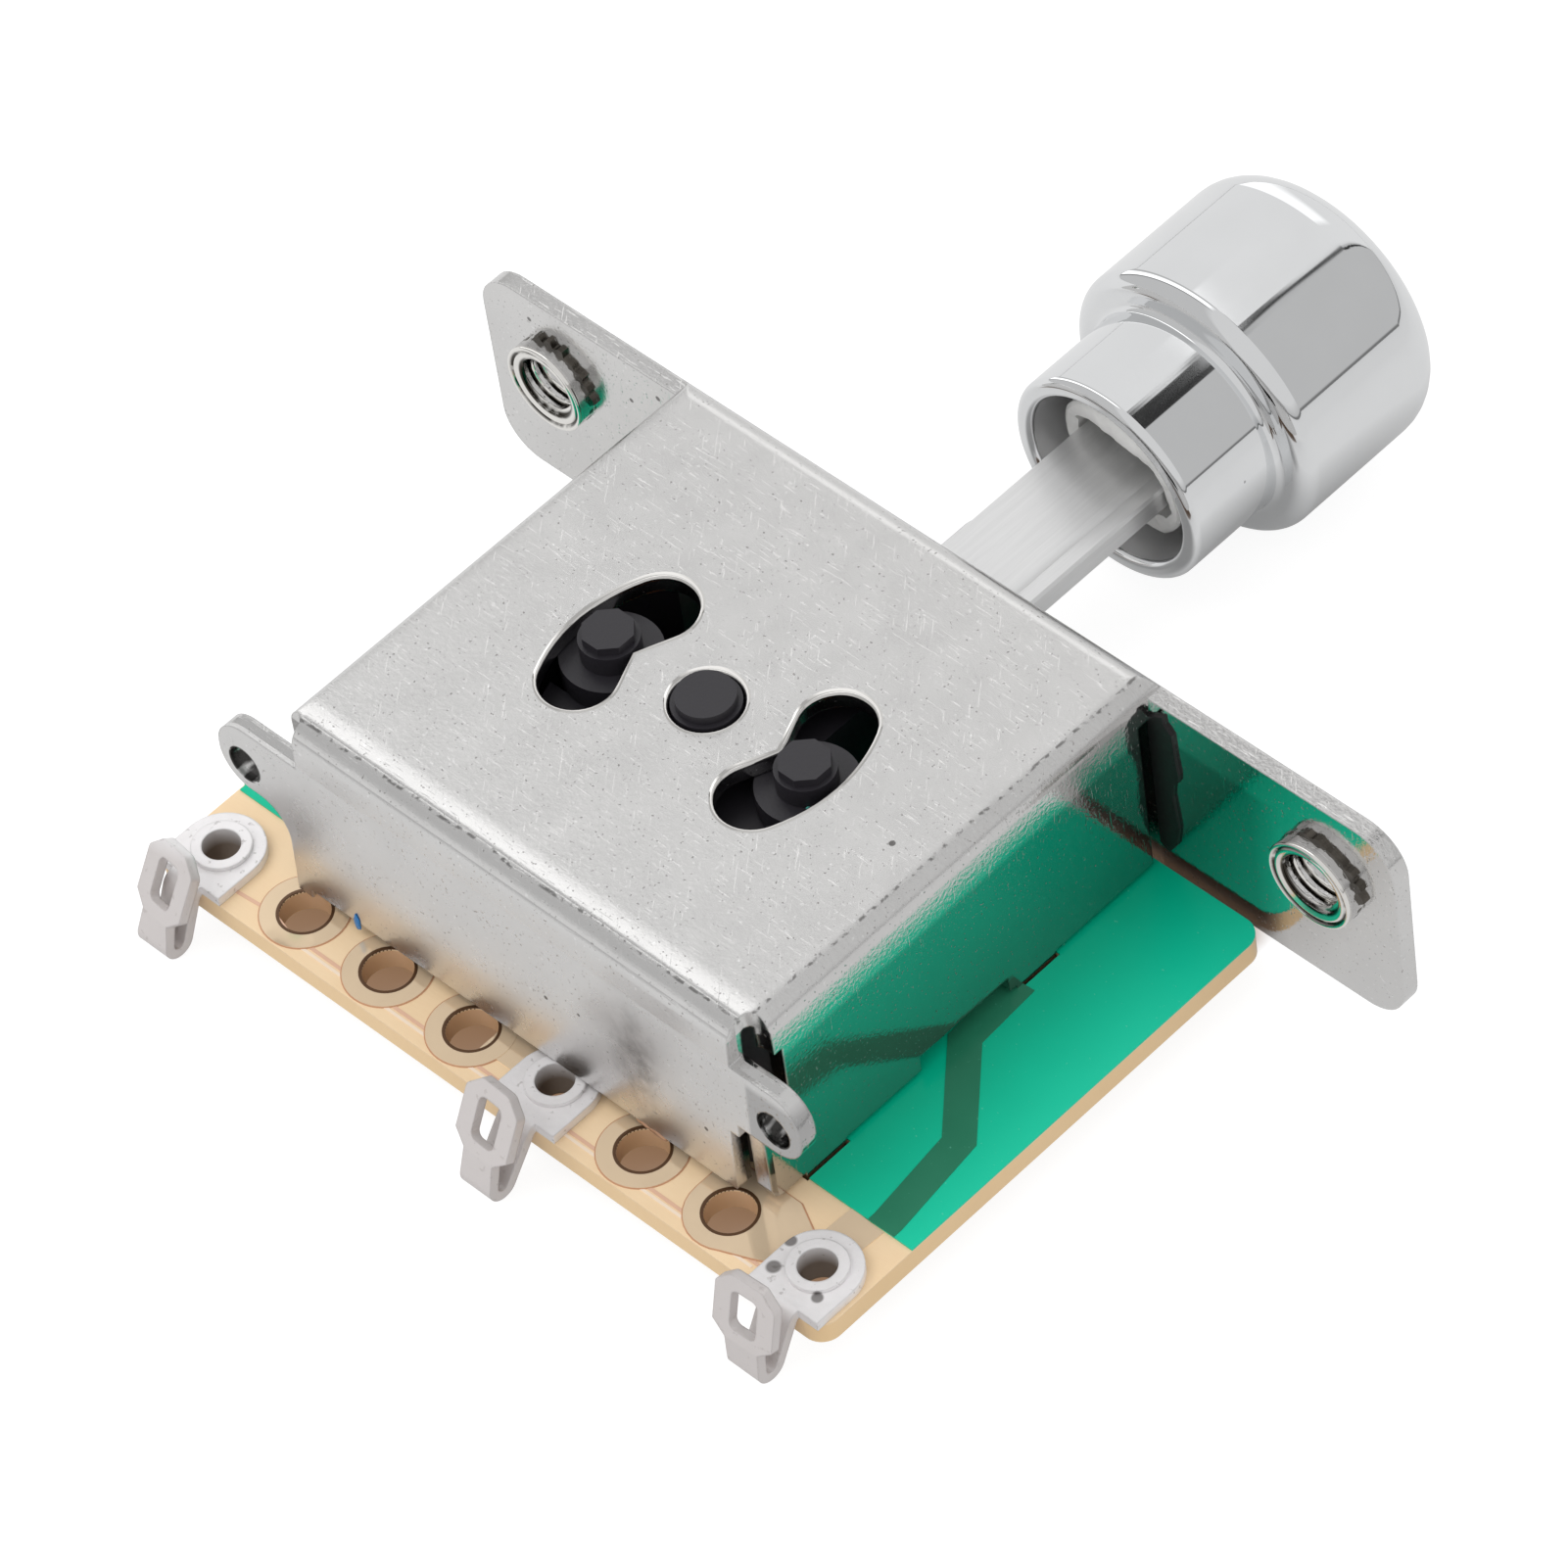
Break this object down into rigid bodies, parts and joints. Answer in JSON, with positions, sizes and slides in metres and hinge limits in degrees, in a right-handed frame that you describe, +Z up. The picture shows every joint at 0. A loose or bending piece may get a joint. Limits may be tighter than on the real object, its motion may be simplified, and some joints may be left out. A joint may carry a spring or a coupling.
{
  "type": "guitar pickup selector switch",
  "caption": "Box-type lever switch for choosing guitar pickups: folded metal cover with a mounting plate, circuit board with solder lugs, and a blade lever with a metal tip.",
  "frame": {"origin": "midway between the two tapped mounting holes, on the outer face of the mounting plate", "axes": "+Y out of the mounting plate along the lever, +X along the plate, +Z up as the switch lies on a table"},
  "size_m": [0.049, 0.0525, 0.0133],
  "materials": {
    "nickel_sheet": "bright nickel plate, finely scratched",
    "board_phenolic": "tan paper laminate, bare front strip",
    "green_mask": "green lacquer over copper tracks",
    "copper": "bare copper",
    "black_moulding": "satin black moulding",
    "spring_steel": "spring steel",
    "natural_plastic": "natural washer plastic",
    "blade_steel": "rolled steel, lightly brushed along its length",
    "chrome_cap": "mirror chrome, two small pits",
    "white_plastic": "white moulding with a ragged rim",
    "tinned_brass": "dull tin plate",
    "contact_bronze": "contact spring bronze"
  },
  "bodies": {
    "switch_body": {"cover": "nickel_sheet", "board": "board_phenolic", "solder_mask": "green_mask", "contact_tracks": "copper", "carrier": "black_moulding", "detent_spring": "spring_steel", "thrust_washer": "natural_plastic", "lug_left": "tinned_brass", "lug_middle": "tinned_brass", "lug_right": "tinned_brass", "eyelet_left": "tinned_brass", "eyelet_middle": "tinned_brass", "eyelet_right": "tinned_brass"},
    "lever": {"rotor": "black_moulding", "lever_blade": "blade_steel", "lever_rivet": "blade_steel", "tip_shell": "chrome_cap", "tip_insert": "white_plastic", "wiper_left": "contact_bronze", "wiper_right": "contact_bronze", "wiper_rivet_left": "contact_bronze", "wiper_rivet_right": "contact_bronze"}
  },
  "joints": [
    {"name": "lever_swing", "type": "hinge", "parent": "switch_body", "child": "lever", "pos_m": [-0.0006, -0.01195, -0.0017], "axis": [0, 0, 1], "range_deg": [-22, 22], "deforming": ["detent_spring"]}
  ]
}
